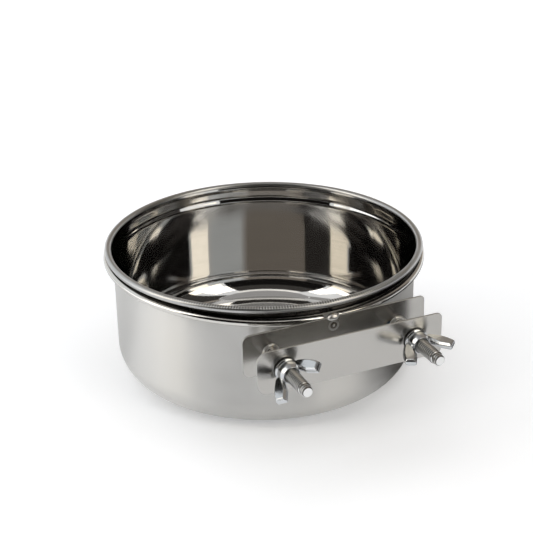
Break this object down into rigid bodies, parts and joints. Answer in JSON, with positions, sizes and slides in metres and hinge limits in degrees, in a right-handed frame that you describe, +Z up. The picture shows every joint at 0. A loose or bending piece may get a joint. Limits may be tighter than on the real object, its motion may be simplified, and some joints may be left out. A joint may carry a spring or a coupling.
{
  "type": "bolt-on feeding bowl",
  "caption": "Round steel feeding bowl with a rolled rim, lifting out of a wire hoop whose welded strip and sliding strip clamp onto cage bars with bolts and wing nuts.",
  "frame": {"origin": "centre of the bowl's flat base, where it stands on a surface", "axes": "+Z up along the bowl's axis; -Y is the side of the clamp, towards the cage bars; +X is to the right as seen from that side"},
  "size_m": [0.1596, 0.1997, 0.0676],
  "materials": {
    "bowl_steel": "polished stainless steel inside, satin outside",
    "wire_steel": "polished stainless steel wire",
    "strip_steel": "polished stainless steel strip",
    "bolt_steel": "rolled stainless steel thread",
    "nut_steel": "polished cast stainless steel",
    "weld_metal": "bare stainless weld metal with a little heat tint"
  },
  "bodies": {
    "bracket": {"holder_ring": "wire_steel", "ring_weld": "weld_metal", "rear_plate": "strip_steel", "left_bolt": "bolt_steel", "right_bolt": "bolt_steel", "left_bolt_weld": "weld_metal", "right_bolt_weld": "weld_metal"},
    "bowl": {"bowl": "bowl_steel"},
    "clamp": {"front_plate": "strip_steel"},
    "left_nut": {"left_wing_nut": "nut_steel"},
    "right_nut": {"right_wing_nut": "nut_steel"}
  },
  "joints": [
    {"name": "bowl_lift", "type": "slide", "parent": "bracket", "child": "bowl", "axis": [0, 0, 1], "range_m": [0, 0.075]},
    {"name": "clamp_slide", "type": "slide", "parent": "bracket", "child": "clamp", "axis": [0, -1, 0], "range_m": [-0.0127, 0.0127]},
    {"name": "left_nut_turn", "type": "hinge", "parent": "clamp", "child": "left_nut", "pos_m": [-0.032, -0.09765, 0.04968], "axis": [0, -1, 0], "range_deg": [-3601, 3601]},
    {"name": "right_nut_turn", "type": "hinge", "parent": "clamp", "child": "right_nut", "pos_m": [0.032, -0.09765, 0.04968], "axis": [0, -1, 0], "range_deg": [-3601, 3601]}
  ],
  "couplings": [
    {"joint": "left_nut_turn", "follows": "clamp_slide", "rad_per_m": 4947.4},
    {"joint": "right_nut_turn", "follows": "clamp_slide", "rad_per_m": 4947.4}
  ]
}
